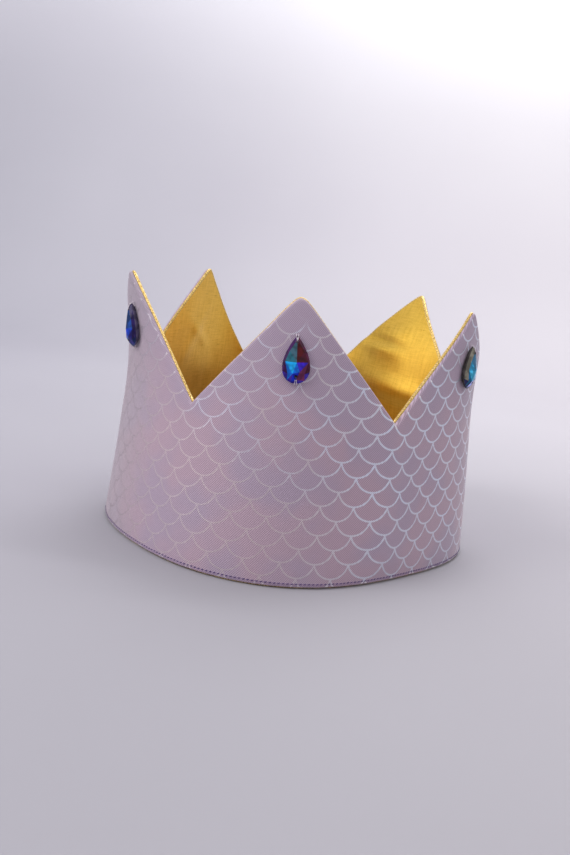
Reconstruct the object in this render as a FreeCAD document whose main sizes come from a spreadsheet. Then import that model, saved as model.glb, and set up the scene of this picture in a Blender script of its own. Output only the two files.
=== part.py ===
# Sewn dress-up crown for a child, in millimetres.
# A padded cloth band with five points stands on its hem. Its layers are a printed outer
# cloth, a felt stiffener and a gold lining that rolls over every edge. A flat elastic joins
# the two ends of the band at the back, and each point carries a sew-on pear stone.
# The front of the crown faces -Y, +Z is up, and the hem lies on Z = 0.
import FreeCAD, Part
import math
import os
import Sketcher
from FreeCAD import Matrix, Placement, Vector

doc = FreeCAD.newDocument("crown")
sheet = doc.addObject("Spreadsheet::Sheet", "sizes")
# Driving dimensions in millimetres, slopes and shares as plain numbers
SIZES = {
    # Ring: the outer face's outline on the floor
    "ring_radius": 84.0,  # mean radius of the outer face at the hem
    "oval_front": 0.068,  # share by which the ring is longer front to back
    "oval_slant": 0.012,  # share by which the ring is longer on one diagonal
    "egg_front": -0.047,  # share of the three-cornered form along the front
    "egg_side": -0.033,  # share of the three-cornered form along the side
    "square_front": 0.049,  # share of the four-cornered form
    "band_lean": -0.079,  # outward slope of the band, per height
    # Points
    "elastic_span": 59.0,  # free length of elastic between the band's ends
    "valley_height": 64.5,  # height of the band between two points
    "point_rise": 47.5,  # height of a sharp point above the valleys
    "bend_drop": 12.0,  # height below the valleys where the points start to bend
    "bend_reach": 45.0,  # height of bend over which the flare comes to its full slope
    "rise_front": 1.5,  # extra height of the front point
    "rise_left": -0.7,  # extra height of the left point
    "rise_right": -1.2,  # extra height of the right point
    "rise_back_left": 1.5,  # extra height of the back left point
    "rise_back_right": 1.6,  # extra height of the back right point
    "shift_front": -3.2,  # sideways shift of the front tip
    "shift_left": 0.0,  # sideways shift of the left tip
    "shift_right": -0.6,  # sideways shift of the right tip
    "shift_back_left": -2.3,  # sideways shift of the back left tip
    "shift_back_right": -0.6,  # sideways shift of the back right tip
    "flare_front": -0.052,  # outward slope of the front point, past the band's
    "flare_left": 0.133,  # outward slope of the left point, past the band's
    "flare_right": 0.038,  # outward slope of the right point, past the band's
    "flare_back_left": 0.012,  # outward slope of the back left point, past the band's
    "flare_back_right": 0.232,  # outward slope of the back right point, past the band's
    "round_front": 4.0,  # rounding of the front tip
    "round_left": 1.2,  # rounding of the left tip
    "round_right": 1.2,  # rounding of the right tip
    "round_back_left": 1.5,  # rounding of the back left tip
    "round_back_right": 2.2,  # rounding of the back right tip
    # Layers
    "outer_cloth": 0.6,  # thickness of the outer cloth
    "stiffener": 1.5,  # thickness of the felt stiffener
    "lining_cloth": 0.5,  # thickness of the lining
    "layer_gap": 0.05,  # air between two layers
    "edge_reveal": 0.4,  # how far the rolled lining stands above the outer cloth
    "hem_reveal": 0.6,  # how far the rolled lining stands below the outer cloth
    # Elastic
    "elastic_width": 38.0,  # width of the elastic
    "elastic_tab": 12.0,  # length of elastic held inside each end of the band
    "elastic_thick": 1.3,  # thickness of the elastic
    # Thread
    "thread_radius": 0.22,  # radius of the sewing thread
    "stitch_pitch": 1.7,  # distance from one stitch to the next
    "stitch_gap": 0.4,  # cloth that shows between two stitches
    "hem_stitch_height": 2.1,  # height of the hem's row of stitches
    "end_stitch_inset": 3.0,  # distance of an end row from the band's end
    # Pear stones
    "gem_length": 18.0,  # length of a stone
    "gem_width": 10.5,  # width of a stone
    "gem_back": 0.74,  # flat back's share of the outline
    "gem_shoulder": 0.8,  # share of the outline halfway up the crown facets
    "gem_table": 0.46,  # table's share of the outline
    "gem_girdle_low": 1.5,  # height of the girdle's lower edge over the back
    "gem_girdle_high": 1.9,  # height of the girdle's upper edge over the back
    "gem_shoulder_high": 3.3,  # height of the shoulder over the back
    "gem_depth": 4.4,  # height of the table over the back
    "gem_hole": 0.45,  # radius of a sewing hole
    "gem_hole_inset": 2.3,  # distance of a hole from the stone's end
    "gem_above_valley": 22.2,  # height of a stone's middle above the valleys
    "gem_seat": 0.05,  # air between a stone and the cloth
    "gem_shift_front": 0.7,  # sideways shift of the front stone from its tip
    "gem_shift_left": 3.0,  # sideways shift of the left stone from its tip
    "gem_shift_right": -1.6,  # sideways shift of the right stone from its tip
    "gem_shift_back_left": 0.0,  # sideways shift of the back left stone from its tip
    "gem_shift_back_right": 0.0,  # sideways shift of the back right stone from its tip
    "gem_lift_front": 0.0,  # extra height of the front stone
    "gem_lift_left": 1.5,  # extra height of the left stone
    "gem_lift_right": 0.0,  # extra height of the right stone
    "gem_lift_back_left": 0.0,  # extra height of the back left stone
    "gem_lift_back_right": 0.0,  # extra height of the back right stone
    "gem_turn_front": 3.8,  # turn of the front stone on the cloth, in degrees
}

for row, (alias, value) in enumerate(SIZES.items(), start=1):
    sheet.set("A%d" % row, alias.replace("_", " "))
    sheet.set("B%d" % row, str(value))
    sheet.setAlias("B%d" % row, alias)
doc.recompute()


def cell(alias):
    return float(getattr(sheet, alias))


POINT_NAMES = ["back_left", "left", "front", "right", "back_right"]
PLAN_STEPS = 72
STATIONS_A_SIDE = 8
STATION_CROWDING = 1.5
EDGE_STEPS = 6
ELASTIC_STEPS = 16
NOTCH_STEPS = 4
GEM_SIDES = 16
GEM_WIDEST = 4 / math.sqrt(27)
ON_AXIS = 1e-6


def plan_point(angle):
    """Outer face of the ring on the floor, the angle counted from the front."""
    bulge = cell("oval_front") * math.cos(2 * angle) + cell("oval_slant") * math.sin(2 * angle)
    bulge += cell("egg_front") * math.cos(3 * angle) + cell("egg_side") * math.sin(3 * angle)
    bulge += cell("square_front") * math.cos(4 * angle)
    reach = cell("ring_radius") * (1 + bulge)
    return Vector(reach * math.sin(angle), -reach * math.cos(angle), 0)


# The ring's outline as a smooth closed curve that can be read by its length
plan_angles = [2 * math.pi * k / PLAN_STEPS for k in range(PLAN_STEPS)]
plan_curve = Part.BSplineCurve()
plan_curve.interpolate(Points=[plan_point(angle) for angle in plan_angles], PeriodicFlag=True)
perimeter = plan_curve.length()
point_pitch = (perimeter - cell("elastic_span")) / len(POINT_NAMES)
band_end = point_pitch * len(POINT_NAMES) / 2


def plan_frame(along):
    """Point and outward direction at a length along the ring, counted from the front."""
    parameter = plan_curve.parameterAtDistance(along % perimeter, plan_curve.FirstParameter)
    point = plan_curve.value(parameter)
    heading = plan_curve.tangent(parameter)[0]
    return point, Vector(heading.y, -heading.x, 0).normalize()


def flare_at(along):
    """Outward slope of the points, eased from each tip to the next."""
    place = min(max(along / point_pitch, -2.0), 2.0) + 2.0
    low = min(int(place), len(POINT_NAMES) - 2)
    ease = (1 - math.cos(math.pi * (place - low))) / 2
    first = cell("flare_" + POINT_NAMES[low])
    second = cell("flare_" + POINT_NAMES[low + 1])
    return first + (second - first) * ease


wall_thickness = cell("outer_cloth") + cell("stiffener") + cell("lining_cloth") + 2 * cell("layer_gap")


def wall_point(along, depth, height):
    """Point of the wall, its depth counted inwards from the outer face."""
    point, outward = plan_frame(along)
    bent = max(0.0, height - cell("valley_height") + cell("bend_drop"))
    lift = cell("band_lean") * height + flare_at(along) * bent * bent / cell("bend_reach")
    spot = point + outward * (lift - depth)
    return Vector(spot.x, spot.y, height)


def tip_along(index):
    return (index - 2) * point_pitch + cell("shift_" + POINT_NAMES[index])


def side_width(index, side):
    valley = (index - 2 + side / 2.0) * point_pitch
    return abs(valley - tip_along(index))


def edge_height(index, share):
    """Height of a point's cut edge, at a share from its tip (0) to its valley (1 or -1)."""
    name = POINT_NAMES[index]
    rise = cell("point_rise") + cell("rise_" + name)
    blunt = cell("round_" + name) * 2 / point_pitch
    fall = math.sqrt(share * share + blunt * blunt) / math.sqrt(1 + blunt * blunt)
    return cell("valley_height") + rise * (1 - fall)


def section_edge(along, start, end):
    """Edge of a cross-section between two (depth, height) corners, straight across the wall."""
    if start[0] != end[0] or abs(end[1] - start[1]) < wall_thickness:
        return Part.makeLine(wall_point(along, *start), wall_point(along, *end))
    shares = [k / EDGE_STEPS for k in range(EDGE_STEPS + 1)]
    points = [wall_point(along, start[0] + (end[0] - start[0]) * s, start[1] + (end[1] - start[1]) * s)
              for s in shares]
    curve = Part.BSplineCurve()
    curve.interpolate(Points=points, Parameters=shares)
    return curve.toShape()


def section(along, corners):
    edges = [section_edge(along, corners[k], corners[(k + 1) % len(corners)]) for k in range(len(corners))]
    return Part.Wire(edges)


def point_stations(index):
    """(length along the ring, share of the side) from one valley over the tip to the next."""
    stations = []
    for step in range(-STATIONS_A_SIDE, STATIONS_A_SIDE + 1):
        side = 1 if step > 0 else -1
        share = side * (abs(step) / STATIONS_A_SIDE) ** STATION_CROWDING
        stations.append((tip_along(index) + share * side_width(index, side), share))
    return stations


def band_layer(profile):
    """Layer of the band: one loft for each point, joined at the valleys.
    The profile gives the layer's corners for a height of the cut edge."""
    lofts = []
    for index in range(len(POINT_NAMES)):
        wires = [section(along, profile(edge_height(index, share))) for along, share in point_stations(index)]
        lofts.append(Part.makeLoft(wires, True, False))
    return lofts[0].fuse(lofts[1:])


def outer_profile(top):
    low, high = cell("hem_reveal"), top - cell("edge_reveal")
    return [(0, low), (0, high), (cell("outer_cloth"), high), (cell("outer_cloth"), low)]


def lining_profile(top):
    """The lining with its rolled edges. Its hem starts just below the floor, to be trimmed flat."""
    roll = cell("outer_cloth") + cell("layer_gap")
    inside = roll + cell("stiffener") + cell("layer_gap")
    cloth = cell("lining_cloth")
    low = -cell("layer_gap")
    return [(roll, low), (roll, cloth), (inside, cloth), (inside, top - cloth),
            (roll, top - cloth), (roll, top), (inside + cloth, top), (inside + cloth, low)]


def stiffener_profile(top):
    face = cell("outer_cloth") + cell("layer_gap")
    margin = cell("lining_cloth") + cell("layer_gap")
    back = face + cell("stiffener")
    return [(face, margin), (face, top - margin), (back, top - margin), (back, margin)]


def add_shape(name, shape):
    feature = doc.addObject("Part::Feature", name)
    feature.Shape = shape
    feature.Placement = Placement()
    feature.Label = name
    return feature


def loft(stations, profile):
    """Solid through the same cross-section at each length along the ring."""
    return Part.makeLoft([section(along, profile) for along in stations], True, False)


def evenly(start, end, spans):
    return [start + (end - start) * k / spans for k in range(spans + 1)]


def elastic_profile(front, back, margin):
    """Cross-section of the elastic, or of the pocket that holds it with a margin."""
    low = (cell("valley_height") - cell("elastic_width")) / 2 - margin
    high = low + cell("elastic_width") + 2 * margin
    return [(front, low), (front, high), (back, high), (back, low)]


# The outer cloth, and the lining with its hem trimmed flat on the floor
outer_panel = add_shape("outer_panel", band_layer(outer_profile))
below = Part.makeBox(2 * perimeter, 2 * perimeter, cell("valley_height"),
                     Vector(-perimeter, -perimeter, -cell("valley_height")))
lining_panel = add_shape("lining_panel", band_layer(lining_profile).cut(below))

# The elastic lies in the stiffener's plane, and each of its ends is held in a notch of it
stiffener_face = cell("outer_cloth") + cell("layer_gap")
stiffener_back = stiffener_face + cell("stiffener")
elastic_face = stiffener_face + (cell("stiffener") - cell("elastic_thick")) / 2
elastic_start = band_end - cell("elastic_tab")
elastic_end = perimeter - elastic_start
elastic_section = elastic_profile(elastic_face, elastic_face + cell("elastic_thick"), 0)
elastic = loft(evenly(elastic_start, elastic_end, ELASTIC_STEPS), elastic_section)
back_elastic = add_shape("back_elastic", elastic)

notch_section = elastic_profile(0, stiffener_back + cell("outer_cloth"), cell("layer_gap"))
notch_start = elastic_start - cell("layer_gap")
notch_end = band_end + cell("elastic_tab")
notches = [loft(evenly(notch_start, notch_end, NOTCH_STEPS), notch_section),
           loft(evenly(-notch_end, -notch_start, NOTCH_STEPS), notch_section)]
stiffener_panel = add_shape("stiffener_panel", band_layer(stiffener_profile).cut(notches))


def stitch(start, end, depth):
    """One stitch: a flat run of thread from one (along, height) to the next."""
    first = wall_point(start[0], depth, start[1])
    last = wall_point(end[0], depth, end[1])
    run = last - first
    outward = plan_frame(start[0])[1]
    across = run.cross(outward).normalize() * cell("thread_radius")
    over = across.cross(run).normalize() * cell("thread_radius")
    corners = [first + across + over, first + across - over, first - across - over, first - across + over]
    face = Part.Face(Part.makePolygon(corners + corners[:1]))
    return face.extrude(run)


def row_of_stitches(start, end):
    """Stitches between two (along, height) places, on the outer cloth and on the lining."""
    length = math.hypot(end[0] - start[0], end[1] - start[1])
    count = max(1, int(length // cell("stitch_pitch")))
    gap = cell("stitch_gap") / length
    outside = -cell("thread_radius") - cell("layer_gap")
    inside = wall_thickness + cell("thread_radius") + cell("layer_gap")
    stitches = []
    for k in range(count):
        shares = (k / count, (k + 1) / count - gap)
        ends = [(start[0] + (end[0] - start[0]) * s, start[1] + (end[1] - start[1]) * s) for s in shares]
        stitches.append(stitch(ends[0], ends[1], outside))
        stitches.append(stitch(ends[0], ends[1], inside))
    return stitches


# The hem's row runs the band's length, and a row down each end holds the elastic
hem_height = cell("hem_stitch_height")
row_end = band_end - cell("end_stitch_inset")
hem_stitching = add_shape("hem_stitching", Part.Compound(row_of_stitches((-row_end, hem_height),
                                                                         (row_end, hem_height))))
end_low = hem_height + cell("stitch_pitch")
end_high = cell("valley_height") - cell("stitch_pitch")
end_rows = row_of_stitches((-row_end, end_low), (-row_end, end_high))
end_rows += row_of_stitches((row_end, end_low), (row_end, end_high))
end_stitching = add_shape("end_stitching", Part.Compound(end_rows))


def gem_corner(step):
    """Corner of a stone's outline, as shares of its width and length, from the tip round."""
    turn = 2 * math.pi * step / GEM_SIDES
    return math.sin(turn) * abs(math.sin(turn / 2)) / GEM_WIDEST / 2, math.cos(turn) / 2


def gem_ring(body, name, share, height):
    """Sketch of a stone's outline, drawn in by a share, at a height over its back."""
    sketch = body.newObject("Sketcher::SketchObject", name)
    plane = [feature for feature in body.Origin.OriginFeatures if feature.Role == "XY_Plane"][0]
    sketch.AttachmentSupport = [(plane, "")]
    sketch.MapMode = "FlatFace"
    if height:
        sketch.setExpression("AttachmentOffset.Base.z", height)
    shares = [gem_corner(step) for step in range(GEM_SIDES)]
    drawn_in = cell(share) if share else 1.0
    corners = [Vector(across * cell("gem_width") * drawn_in, up * cell("gem_length") * drawn_in, 0)
               for across, up in shares]
    for k in range(GEM_SIDES):
        sketch.addGeometry(Part.LineSegment(corners[k], corners[(k + 1) % GEM_SIDES]), False)
    for k in range(GEM_SIDES):
        sketch.addConstraint(Sketcher.Constraint("Coincident", k, 2, (k + 1) % GEM_SIDES, 1))
    factor = " * sizes." + share if share else ""
    for k in range(GEM_SIDES):
        across, up = shares[k]
        if abs(across) < ON_AXIS:
            sketch.addConstraint(Sketcher.Constraint("PointOnObject", k, 1, -2))
        else:
            place = sketch.addConstraint(Sketcher.Constraint("DistanceX", -1, 1, k, 1, corners[k].x))
            sketch.setExpression("Constraints[%d]" % place, "sizes.gem_width * %.6f%s" % (across, factor))
        if abs(up) < ON_AXIS:
            sketch.addConstraint(Sketcher.Constraint("PointOnObject", k, 1, -1))
        else:
            place = sketch.addConstraint(Sketcher.Constraint("DistanceY", -1, 1, k, 1, corners[k].y))
            sketch.setExpression("Constraints[%d]" % place, "sizes.gem_length * %.6f%s" % (up, factor))
    return sketch


def gem_holes(body):
    """Sketch of the two sewing holes near the stone's ends."""
    sketch = body.newObject("Sketcher::SketchObject", body.Name + "_holes_sketch")
    plane = [feature for feature in body.Origin.OriginFeatures if feature.Role == "XY_Plane"][0]
    sketch.AttachmentSupport = [(plane, "")]
    sketch.MapMode = "FlatFace"
    for side in (1, -1):
        centre = Vector(0, side * (cell("gem_length") / 2 - cell("gem_hole_inset")), 0)
        circle = sketch.addGeometry(Part.Circle(centre, Vector(0, 0, 1), cell("gem_hole")), False)
        radius = sketch.addConstraint(Sketcher.Constraint("Radius", circle, cell("gem_hole")))
        sketch.setExpression("Constraints[%d]" % radius, "sizes.gem_hole")
        sketch.addConstraint(Sketcher.Constraint("PointOnObject", circle, 3, -2))
        place = sketch.addConstraint(Sketcher.Constraint("DistanceY", -1, 1, circle, 3, centre.y))
        sketch.setExpression("Constraints[%d]" % place,
                             "%d * (sizes.gem_length / 2 - sizes.gem_hole_inset)" % side)
    return sketch


def gem_placement(index):
    """Seat of a stone: its back on the outer cloth, its tip up."""
    name = POINT_NAMES[index]
    along = tip_along(index) + cell("gem_shift_" + name)
    height = cell("valley_height") + cell("gem_above_valley") + cell("gem_lift_" + name)
    half = cell("gem_length") / 2
    up = (wall_point(along, 0, height + half) - wall_point(along, 0, height - half)).normalize()
    side = (wall_point(along + half, 0, height) - wall_point(along - half, 0, height)).normalize()
    outward = side.cross(up).normalize()
    side = up.cross(outward)
    seat = (wall_point(along, 0, height + half) + wall_point(along, 0, height - half)) / 2
    middle = wall_point(along, 0, height)
    proud = max(0.0, (middle - seat).dot(outward))
    seat = seat + outward * (proud + cell("gem_seat"))
    seated = Placement(Matrix(side.x, up.x, outward.x, seat.x, side.y, up.y, outward.y, seat.y,
                              side.z, up.z, outward.z, seat.z, 0, 0, 0, 1))
    turn = cell("gem_turn_front") if name == "front" else 0.0
    return seated.multiply(Placement(Vector(0, 0, 0), Vector(0, 0, 1), turn))


def build_gem(index):
    name = "gem_" + POINT_NAMES[index]
    body = doc.addObject("PartDesign::Body", name)
    body.Label = name
    back = gem_ring(body, name + "_back", "gem_back", "")
    rings = [gem_ring(body, name + "_girdle_low", "", "sizes.gem_girdle_low"),
             gem_ring(body, name + "_girdle_high", "", "sizes.gem_girdle_high"),
             gem_ring(body, name + "_shoulder", "gem_shoulder", "sizes.gem_shoulder_high"),
             gem_ring(body, name + "_table", "gem_table", "sizes.gem_depth")]
    facets = body.newObject("PartDesign::AdditiveLoft", name + "_facets")
    facets.Profile = back
    facets.Sections = rings
    facets.Ruled = True
    doc.recompute()
    uncut = facets.Shape.Volume
    holes = body.newObject("PartDesign::Pocket", name + "_holes")
    holes.Profile = gem_holes(body)
    holes.Type = "ThroughAll"
    holes.Reversed = True
    doc.recompute()
    if holes.Shape.Volume >= uncut:
        raise RuntimeError("the sewing holes cut nothing from " + name)
    body.Placement = gem_placement(index)
    return body


gems = [build_gem(index) for index in range(len(POINT_NAMES))]
doc.recompute()

# The origin is the middle of the whole crown's box, at the level of the hem
pieces = [outer_panel, stiffener_panel, lining_panel, back_elastic, hem_stitching, end_stitching] + gems
box = outer_panel.Shape.optimalBoundingBox()
for piece in pieces[1:]:
    box.add(piece.Shape.optimalBoundingBox())
for piece in pieces:
    piece.Placement.Base = piece.Placement.Base - Vector(box.Center.x, box.Center.y, 0)
doc.recompute()

for feature in doc.Objects:
    if "Invalid" in feature.State or "Error" in feature.State:
        raise RuntimeError("failed: " + feature.Name)
os.makedirs("parts", exist_ok=True)
for piece in pieces:
    if piece.Shape.isNull() or not piece.Shape.isValid():
        raise RuntimeError("bad shape: " + piece.Label)
for piece in pieces:
    piece.Shape.exportStep("parts/" + piece.Label + ".step")
    print(piece.Label, len(piece.Shape.Solids), "solids", round(piece.Shape.Volume, 1), "mm3")
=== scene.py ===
import math
from bisect import bisect_right

import bmesh
import bpy
from bpy.props import CollectionProperty, FloatProperty, FloatVectorProperty, PointerProperty, StringProperty
from bpy.types import Operator, Panel, PropertyGroup
from mathutils import Matrix, Vector, noise


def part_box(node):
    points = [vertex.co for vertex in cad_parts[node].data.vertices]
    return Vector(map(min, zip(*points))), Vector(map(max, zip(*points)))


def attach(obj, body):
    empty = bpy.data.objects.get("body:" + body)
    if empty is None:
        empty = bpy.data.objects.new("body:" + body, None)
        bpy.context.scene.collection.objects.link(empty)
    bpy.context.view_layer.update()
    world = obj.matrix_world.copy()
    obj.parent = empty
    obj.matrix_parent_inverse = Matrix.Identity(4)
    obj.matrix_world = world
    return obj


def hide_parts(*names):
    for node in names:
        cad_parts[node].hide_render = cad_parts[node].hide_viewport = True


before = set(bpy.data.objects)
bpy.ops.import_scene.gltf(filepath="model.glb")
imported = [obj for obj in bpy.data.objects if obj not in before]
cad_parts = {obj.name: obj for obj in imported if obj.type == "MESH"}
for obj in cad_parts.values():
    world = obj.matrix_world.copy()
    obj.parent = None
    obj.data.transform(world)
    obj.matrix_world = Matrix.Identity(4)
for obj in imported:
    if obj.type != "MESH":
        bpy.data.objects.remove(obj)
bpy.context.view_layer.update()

bl_info = {
    "name": "Padded Dress-up Crown",
    "version": (1, 0, 0),
    "blender": (4, 5, 0),
    "location": "View3D > Sidebar > Crown",
    "description": "Builds the looks of a padded cloth crown with five points around its packed solids",
    "category": "Object",
}

MM = 0.001
BODY = "root"
# Sizes that several pieces share
HEM_ROW = 2.1 * MM
ELASTIC_TAB = 10 * MM
ELASTIC_RIB = 1.9 * MM
STONE_THREAD_RADIUS = 0.17 * MM
POINT_NAMES = ["back_left", "left", "front", "right", "back_right"]

# Each point's rise, shift, flare and rounding, then its stone's shift, lift and turn, as in the solids
POINT_FORMS = {
    "back_left": (1.5, -2.3, 0.012, 1.5, 0.0, 0.0, 0.0),
    "left": (-0.7, 0.0, 0.133, 1.2, 3.0, 1.5, 0.0),
    "front": (1.5, -3.2, -0.052, 4.0, 0.7, 0.0, 3.8),
    "right": (-1.2, -0.6, 0.038, 1.2, -1.6, 0.0, 0.0),
    "back_right": (1.6, -0.6, 0.232, 2.2, 0.0, 0.0, 0.0),
}

# Colours of a stone's facets, by zone: the coloured foil behind the cut, with each facet's painted
# reflection and painted shade as seen from the camera
STONE_TINTS_AND_PAINTED_LIGHT = {
    "front": {
        "top_left": (0.03, 0.075, 0.11), "top_right": (0.055, 0.0008, 0.004),
        "left": (0.012, 0.085, 0.12), "right": (0.045, 0.002, 0.012),
        "low_left": (0.004, 0.24, 0.55), "low_left_edge": (0.006, 0.115, 0.52),
        "low": (0.002, 0.10, 0.50), "bottom": (0.004, 0.015, 0.34),
        "low_right": (0.03, 0.008, 0.42), "low_right_edge": (0.13, 0.018, 0.075),
        "edge_left": (0.030, 0.004, 0.055), "edge_right": (0.060, 0.004, 0.030),
        "edge_low": (0.03, 0.012, 0.22), "rim": (0.30, 0.26, 0.36)},
    "left": {
        "top_left": (0.001, 0.03, 0.12), "top_right": (0.001, 0.03, 0.14),
        "left": (0.001, 0.05, 0.24), "right": (0.002, 0.04, 0.22),
        "low_left": (0.002, 0.07, 0.36), "low_left_edge": (0.002, 0.05, 0.28),
        "low": (0.002, 0.04, 0.42), "bottom": (0.002, 0.07, 0.34),
        "low_right": (0.002, 0.03, 0.36), "low_right_edge": (0.008, 0.006, 0.12),
        "edge_left": (0.001, 0.01, 0.05), "edge_right": (0.012, 0.004, 0.06),
        "edge_low": (0.001, 0.012, 0.08), "rim": (0.07, 0.06, 0.11)},
    "right": {
        "top_left": (0.02, 0.10, 0.18), "top_right": (0.02, 0.10, 0.20),
        "left": (0.02, 0.28, 0.50), "right": (0.03, 0.30, 0.50),
        "low_left": (0.05, 0.42, 0.66), "low_left_edge": (0.008, 0.12, 0.26),
        "low": (0.20, 0.50, 0.74), "bottom": (0.36, 0.40, 0.76),
        "low_right": (0.22, 0.55, 0.72), "low_right_edge": (0.30, 0.50, 0.72),
        "edge_left": (0.16, 0.15, 0.12), "edge_right": (0.02, 0.02, 0.03),
        "edge_low": (0.01, 0.012, 0.06), "rim": (0.06, 0.055, 0.05)},
}
STONE_TINTS_AND_PAINTED_LIGHT["back_left"] = STONE_TINTS_AND_PAINTED_LIGHT["left"]
STONE_TINTS_AND_PAINTED_LIGHT["back_right"] = STONE_TINTS_AND_PAINTED_LIGHT["front"]
# Painted shade: near black on the walls of a stone's sewing holes
HOLE_SHADE = (0.006, 0.003, 0.012)


def length_prop(meaning, millimetres):
    return FloatProperty(name=meaning, default=millimetres * MM, unit="LENGTH", precision=5)


def angle_prop(meaning, degrees):
    return FloatProperty(name=meaning, default=math.radians(degrees), subtype="ANGLE")


def share_prop(meaning, value):
    return FloatProperty(name=meaning, default=value, precision=4)


def colour_prop(meaning, value):
    return FloatVectorProperty(name=meaning, default=value, subtype="COLOR", size=3, min=0.0, max=1.0)


class CrownPoint(PropertyGroup):
    """One point of the crown and its stone."""
    name: StringProperty(name="Which point this is")
    rise: length_prop("Height above a plain point", 0.0)
    shift: length_prop("Sideways shift of the tip", 0.0)
    flare: share_prop("Outward slope of the point past the band's", 0.0)
    rounding: length_prop("Rounding of the tip", 1.5)
    stone_shift: length_prop("Sideways shift of the stone from the tip", 0.0)
    stone_lift: length_prop("Extra height of the stone", 0.0)
    stone_turn: angle_prop("Turn of the stone on the cloth", 0.0)


class CrownShape(PropertyGroup):
    """Sizes of the band, shared with the solids."""
    ring_radius: length_prop("Mean radius of the outer face at the hem", 84.0)
    oval_front: share_prop("How much longer the ring is front to back", 0.068)
    oval_slant: share_prop("How much longer the ring is on one diagonal", 0.012)
    egg_front: share_prop("Share of the three-cornered form along the front", -0.047)
    egg_side: share_prop("Share of the three-cornered form along the side", -0.033)
    square_front: share_prop("Share of the four-cornered form", 0.049)
    band_lean: share_prop("Outward slope of the band per height", -0.079)
    elastic_span: length_prop("Free length of elastic at the back", 59.0)
    valley_height: length_prop("Height of the band between two points", 64.5)
    point_rise: length_prop("Height of a sharp point above the valleys", 47.5)
    bend_drop: length_prop("How far below the valleys the points start to bend", 12.0)
    bend_reach: length_prop("Height over which the flare comes to its full slope", 45.0)
    wall: length_prop("Thickness of all the layers together", 2.7)
    reveal: length_prop("How far the lining stands above the outer cloth", 0.4)
    hem_reveal: length_prop("How far the lining stands below the outer cloth", 0.6)
    outer_roll: length_prop("Radius of the outer cloth's turned edge", 1.15)
    seam_depth: length_prop("Depth of the seam between cloth and lining", 1.35)
    cloth: length_prop("Thickness of one cloth", 0.4)
    stone_height: length_prop("Height of a stone's middle above the valleys", 22.2)
    stone_length: length_prop("Length of a stone", 18.0)
    stone_width: length_prop("Width of a stone", 10.5)
    hole_radius: length_prop("Radius of a stone's two sewing holes", 0.6)
    hole_inset: length_prop("Distance of a sewing hole from the stone's end", 2.6)
    stitch_pitch: length_prop("Distance from one stitch to the next", 1.7)
    stitch_height: length_prop("Height of the hem's row of stitches", HEM_ROW / MM)
    stitch_length: length_prop("Length of a stitch", 1.1)
    stitch_radius: length_prop("Half the thickness of a stitch", 0.26)
    stitch_skew: angle_prop("Slant of a stitch to its row", 20)
    end_inset: length_prop("Distance of an end row from the band's end", 3.0)
    elastic_width: length_prop("Width of the elastic", 38.0)
    elastic_thick: length_prop("Thickness of the elastic", 1.3)
    points: CollectionProperty(type=CrownPoint)


class CrownPrint(PropertyGroup):
    """The scale print and the twill under it."""
    column: length_prop("Width of one printed scale", 13.9)
    row: length_prop("Height from one row of scales to the next", 5.7)
    line: length_prop("Width of a printed foil line", 0.58)
    rib: length_prop("Distance between two ribs of the twill", 0.65)
    rib_angle: angle_prop("Angle of the ribs to the hem", 51)
    yarn: length_prop("Distance between two of the yarns that cross the ribs", 0.62)
    lilac: colour_prop("Colour of the cloth", (0.475, 0.375, 0.49))
    pink: colour_prop("Warm tint of the cloth", (0.55, 0.39, 0.475))
    # Painted sheen: the cloth turns greyer and paler round its left point
    left_sheen: colour_prop("Greyer tint of the cloth on its left side", (0.46, 0.41, 0.44))
    # Painted shade: the cloth is darker in the hollows of the twill
    twill_hollow_shade: colour_prop("Colour of the cloth in the hollows of the twill", (0.22, 0.155, 0.215))
    foil_cool: colour_prop("Colour of the foil where it turns blue", (0.70, 0.77, 0.92))
    foil_warm: colour_prop("Colour of the foil where it turns cream", (0.66, 0.57, 0.55))
    # Painted reflection: the foil is darker on the left, where it reflects dimmer surroundings; it is not
    # rubbed thin
    foil_dark_reflection: colour_prop("Colour of the foil where it has rubbed thin", (0.36, 0.27, 0.31))
    glint: colour_prop("Colour of the foil where it sparkles", (1.0, 0.98, 1.0))
    seam: colour_prop("Shade of the thread in the cloth at the hem's seam", (0.16, 0.09, 0.26))
    gold: colour_prop("Colour of the lining", (0.92, 0.60, 0.10))
    gold_dark: colour_prop("Colour of the lining between its threads", (0.54, 0.27, 0.012))
    # Painted glints and painted shade: the lining's roll over an edge is paler and bright in beads, dark
    # between them
    braid: colour_prop("Colour of the lining where it rolls over an edge", (0.95, 0.72, 0.30))
    braid_shade: colour_prop("Colour between the threads of that roll", (0.22, 0.12, 0.02))
    thread: colour_prop("Colour of the sewing thread", (0.075, 0.03, 0.16))
    elastic: colour_prop("Colour of the elastic", (0.47, 0.39, 0.50))


class CrownStage(PropertyGroup):
    """Where the camera stands and how it sees."""
    distance: length_prop("Distance from the camera to the point it turns about", 421.0)
    azimuth: angle_prop("Turn of the camera about the crown", -1.452)
    elevation: angle_prop("Height of the camera as an angle", 11.061)
    roll: angle_prop("Turn of the camera about its own line of sight", 6.984)
    aim_side: length_prop("Sideways place of the point that the camera turns about", -1.683)
    aim_height: length_prop("Height of the point that the camera turns about", 44.775)
    lens: FloatProperty(name="Focal length for a sensor 36 mm high", default=37.853, unit="CAMERA")


def settings():
    return bpy.context.scene


def smooth(share):
    share = min(max(share, 0.0), 1.0)
    return share * share * (3 - 2 * share)


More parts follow.
